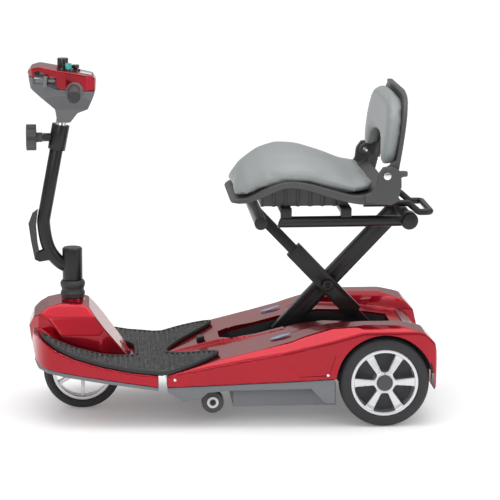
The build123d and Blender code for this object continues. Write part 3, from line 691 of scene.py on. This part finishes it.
# %% Backrest shell with its lugs
pivot_x, pivot_z = BACKREST_PIVOT
face = curved([(0, 753), (60, 752), (110, 746), (150, 730), (179, 702), (195, 662), (199, 620),
               (197, 580), (191, 557)], 4)
arch = curved([(114, 540), (112, 556), (106, 584), (88, 606), (50, 618), (0, 621)], 4)
shell = prism("backrest_shell_finished", [(353, 562), (362, 562), (390, 735), (388, 747),
                                          (380, 753), (373, 752), (380, 735)], "Y", -205, 205)
combine(shell, "INTERSECT", prism("face", facing(face[1:]), "X", 300, 420))
combine(shell, "DIFFERENCE", prism("arch", facing(arch[:-1]), "X", 300, 420))
for sign in (-1, 1):
    lug = prism("lug", [(336, 555), (358, 562), (366, 600), (358, 600), (328, 580)], "Y",
                *either_side(sign, 186, 199))
    combine(shell, "UNION", lug, drum("eye", (pivot_x, sign * 192.5, pivot_z), 14, "Y", 13))
soften(shell, 2.0, 5)
combine(shell, "DIFFERENCE", drum("bore", (pivot_x, 0, pivot_z), 6.3, "Y", 500, 40))
dress(shell, "backrest", CHARCOAL, replaces=("backrest_shell",), angle=50)

# %% Seat pan with its ribbed underside, side brackets and rubber stops
PAN_RIBS = 8
top = curved([(-6, 500), (-3, 504), (30, 514), (70, 538), (112, 554), (160, 551), (215, 536),
              (265, 523), (305, 527), (330, 536), (345, 545)], 4)
under = curved([(345, 502), (305, 502), (265, 505), (215, 518), (160, 536), (112, 540), (70, 522),
                (30, 503), (-3, 496.5)], 4)
plan = curved([(-8, 60), (-4, 118), (10, 146), (30, 166), (70, 189), (112, 197), (160, 200),
               (215, 202), (280, 202), (346, 202)], 4)
pan = prism("seat_pan_finished", top + under, "Y", -220, 220)
combine(pan, "INTERSECT", prism("plan", mirrored(plan), "Z", 440, 620))
tray_side = [(60, 492), (256, 492), (256, 512), (215, 525), (160, 541), (112, 545), (70, 530),
             (60, 524)]
combine(pan, "UNION", prism("tray", tray_side, "Y", -146, 146))
for k in range(PAN_RIBS):
    x = tray_side[0][0] + 27.4 * k
    rib = prism("rib", [(x, 490.5), (x + 4.2, 490.5), (x + 4.2, 562), (x, 562)], "Y", -151, 151)
    combine(rib, "INTERSECT", prism("tray", [(50, 488), (262, 488), (262, 510), (215, 523),
                                             (160, 540), (112, 544), (70, 528), (50, 516)],
                                    "Y", -160, 160))
    combine(pan, "UNION", rib)
bracket_side = [(290, 508), (345, 503), (360, 510), (369, 545), (367, 577), (351, 588.5),
                (328, 588.5), (316, 572), (313, 548), (302, 531), (286, 524)]
for sign in (-1, 1):
    combine(pan, "UNION", prism("bracket", bracket_side, "Y", *either_side(sign, 199.8, 214)),
            drum("stop", (372, sign * 205, 572), 11, "Z", 12, 40))
soften(pan, 2.3, 4)
for sign in (-1, 1):
    combine(pan, "DIFFERENCE", drum("bore", (pivot_x, sign * 205, pivot_z), 6.2, "Y", 60, 40))
dress(pan, "seat", CHARCOAL, replaces=("seat_pan",), angle=50)

# %% Head covers, blackened inside the throttle slot, and small mouldings
upper = softened("head_upper_cover", RED, 1.3, 8)
lower = softened("head_lower_cover", DARK_GREY, 1.3, 10)
for cover in (upper, lower):
    cover.data.materials.append(GLOSS_BLACK)
    for polygon in cover.data.polygons:
        x, y, z = polygon.center / MM
        if -442 < x < -392 and 760.5 < z < 776.5 and abs(y) < 56:
            polygon.material_index = 1
softened("clamp_knob", CHARCOAL, 1.2, 3)
softened("fold_lever", GLOSS_BLACK, 1.0, 3)
softened("horn_button", GLOSS_BLACK, 0.7, 8)

# %% Collars, slot surrounds, grip bosses and wheel backs
def collar(name, place, outer, inner, low, high):
    """A short upright ring round a control on the head."""
    x, y = place
    ring = drum(name, (x, y, (low + high) / 2), outer, "Z", high - low, 40)
    combine(ring, "DIFFERENCE", drum("hole", (x, y, (low + high) / 2), inner, "Z", 60, 40))
    apply_modifier(ring, "BEVEL", width=0.0006, segments=2, limit_method="ANGLE")
    return dress(ring, "tiller", GLOSS_BLACK)


collar("horn_collar", (-349, 25), 11, 4.6, 777, 785.1)
collar("lock_collar", (-364, -27), 7, 4.2, 779, 790.6)
collar("dial_base", (-377, 0), 15.5, 3, 782, 792.4)
HEAD_PLAN = [(-456, 26), (-446, 46), (-420, 56), (-370, 58), (-325, 52), (-306, 40), (-301, 20)]
for sign, side_name in SIDES:
    surround = prism(f"slot_surround_{side_name}",
                     [(-441, 787), (-432, 790), (-420, 785), (-396, 764), (-385, 750),
                      (-397, 752), (-425, 764), (-440, 777)], "Y", *either_side(sign, 30, 62))
    combine(surround, "INTERSECT", prism("plan", shrunk(mirrored(HEAD_PLAN), -0.9), "Z", 700, 820))
    combine(surround, "DIFFERENCE", prism("path", [(-437, 763), (-397, 763), (-397, 774.5),
                                                   (-437, 774.5)], "Y", -70, 70))
    apply_modifier(surround, "BEVEL", width=0.0005, segments=2, limit_method="ANGLE")
    dress(surround, "tiller", GLOSS_BLACK)
    deselect()
    bpy.ops.mesh.primitive_cone_add(vertices=48, radius1=0.027, radius2=0.0162, depth=0.034,
                                    location=Vector((-352, sign * 49, 745)) * MM,
                                    rotation=(-sign * pi / 2, 0, 0))
    boss = bpy.context.object
    boss.name = f"grip_boss_{side_name}"
    place_in_mesh(boss)
    apply_modifier(boss, "BEVEL", width=0.002, segments=3, limit_method="ANGLE")
    dress(boss, "tiller", DARK_GREY)
    back = turned(f"wheel_back_{side_name}",
                  [(r, sign * y) for r, y in ((9, 187), (60, 187), (68.4, 190), (68.4, 193),
                                              (60, 191), (30, 196), (9, 196))],
                  REAR_AXLE, 64)
    dress(back, f"rear_wheel_{side_name}", CHARCOAL)

# %% [markdown]
# ## Parts whose shape is already right
# Turned, sawn and welded parts keep the frame's shape. A copy of each one is merged, its flat
# faces are joined, and a small bevel catches the light along its edges.

# %% Refined copies of frame parts
def refined(node, material, bevel):
    """A copy of a frame part, bevelled by so many millimetres, that stands for it."""
    piece = copied(node)
    tidy_mesh(piece)
    apply_modifier(piece, "DECIMATE", decimate_type="DISSOLVE", angle_limit=radians(0.6))
    if bevel:
        apply_modifier(piece, "BEVEL", width=bevel * MM, segments=2, limit_method="ANGLE",
                       angle_limit=radians(28), miter_outer="MITER_ARC")
    apply_modifier(piece, "TRIANGULATE", min_vertices=5)
    return dress(piece, BODY_OF[node], material, replaces=(node,), angle=32)


REFINED = {
    "deck_skirt": (GREY, 1.2), "rear_bumper": (SILVER, 2.0), "tail_lenses": (LENS, 1.0),
    "deck_catch": (BLACK, 1.0), "deck_badges": (BADGE, 0.5), "frame_rails": (BLACK, 1.5),
    "frame_front_beam": (BLACK, 0.8), "frame_rear_beam": (BLACK, 1.5),
    "scissor_channel": (BLACK, 0.8), "battery_tray": (GREY, 2.0), "batteries": (CHARCOAL, 2.0),
    "drive_unit": (BLACK, 1.0), "mid_wheel_brackets": (BLACK, 1.0), "wheel_liners": (CHARCOAL, 0),
    "front_skirt": (GREY, 1.0), "front_frame": (BLACK, 0.8), "fork": (BLACK, 1.0),
    "steering_boot": (BOOT, 1.0), "steering_post": (BLACK, 0.8), "clamp_collar": (BLACK, 1.0),
    "inner_post": (CHROME, 0.5), "handlebar": (CHROME, 0.5), "hand_grips": (BOOT, 1.0),
    "display": (PANEL, 0.3), "throttle_paddles": (GREY, 1.0), "speed_dial": (GLOSS_BLACK, 0.5),
    "key": (TEAL, 0.5), "arm_one": (BLACK, 1.5), "arm_two": (BLACK, 1.5),
    "slide_shoes": (CHARCOAL, 0.8), "front_cross_tube": (BLACK, 1.0),
    "rear_cross_tube": (BLACK, 1.0), "scissor_bolt": (BLACK, 0.8), "seat_rails": (BLACK, 0.8),
    "seat_cross_bars": (BLACK, 1.0), "lift_handle": (BLACK, 0.5), "backrest_bolts": (CHROME, 0.8),
    "front_rim": (ALLOY, 0.8),
}
for _, side_name in SIDES:
    REFINED[f"rear_hub_cap_{side_name}"] = (CHARCOAL, 0.5)
    REFINED[f"mid_wheel_{side_name}"] = (CHARCOAL, 0.8)
for node, (material, bevel) in REFINED.items():
    refined(node, material, bevel)

# %% [markdown]
# ## Floor, lights and camera
# A product like this is shown on a white sweep. The sky gives most of the light, which keeps
# the shadow under the deck soft, and three large panels draw long highlights in the lacquer.

# %% Floor
deselect()
bpy.ops.mesh.primitive_plane_add(size=60, location=(0, 10.0, 0))
floor = bpy.context.object
floor.name = "floor"
FLOOR = finish("floor_white", (0.93, 0.93, 0.93), rough=0.5, drift=0.0, relief=0.0,
               rough_drift=0.0, specular=0.2)
FLOOR.node_tree.nodes["Principled BSDF"].inputs["Emission Color"].default_value = (1, 1, 1, 1)
FLOOR.node_tree.nodes["Principled BSDF"].inputs["Emission Strength"].default_value = 0.16
floor.data.materials.append(FLOOR)
print("floor", tuple(floor.dimensions))

# %% Lights
world = bpy.data.worlds.new("studio")
world.use_nodes = True
sky = world.node_tree
direction = sky.nodes.new("ShaderNodeTexCoord")
height = sky.nodes.new("ShaderNodeSeparateXYZ")
level = sky.nodes.new("ShaderNodeMapRange")
level.inputs["To Min"].default_value = 0.20
level.inputs["To Max"].default_value = 1.38
sky.links.new(direction.outputs["Generated"], height.inputs["Vector"])
sky.links.new(height.outputs["Z"], level.inputs["Value"])
sky.links.new(level.outputs["Result"], sky.nodes["Background"].inputs["Strength"])
sky.nodes["Background"].inputs["Color"].default_value = (1, 1, 1, 1)
bpy.context.scene.world = world


def panel(name, place, look_at, size, power):
    """A soft rectangular lamp that faces a point."""
    lamp = bpy.data.lights.new(name, "AREA")
    lamp.shape = "RECTANGLE"
    lamp.size, lamp.size_y = size
    lamp.energy = power
    holder = bpy.data.objects.new(name, lamp)
    bpy.context.scene.collection.objects.link(holder)
    holder.location = place
    holder.rotation_euler = (Vector(look_at) - Vector(place)).to_track_quat("-Z", "Y").to_euler()


panel("lamp_over", (0.0, -0.2, 2.6), (0, 0, 0.2), (2.2, 1.4), 16)
panel("lamp_front", (-1.2, -2.8, 1.5), (0, 0, 0.25), (1.6, 0.9), 10)
panel("lamp_side", (2.2, -1.6, 1.2), (0, 0, 0.3), (0.8, 1.4), 8)
print(len(bpy.data.lights), "lamps")

# %% Camera
LOOK_DOWN, LOOK_ASIDE = 11.02, -4.15      # degrees
camera = bpy.data.cameras.new("camera")
camera.lens = 163.5
camera.sensor_width = 36
holder = bpy.data.objects.new("camera", camera)
bpy.context.scene.collection.objects.link(holder)
holder.location = (-0.3253, -5.1348, 1.3678)
holder.rotation_euler = (radians(90 - LOOK_DOWN), 0, radians(LOOK_ASIDE))
bpy.context.scene.camera = holder
bpy.context.scene.view_settings.view_transform = "Standard"
print("camera", camera.lens, "mm")
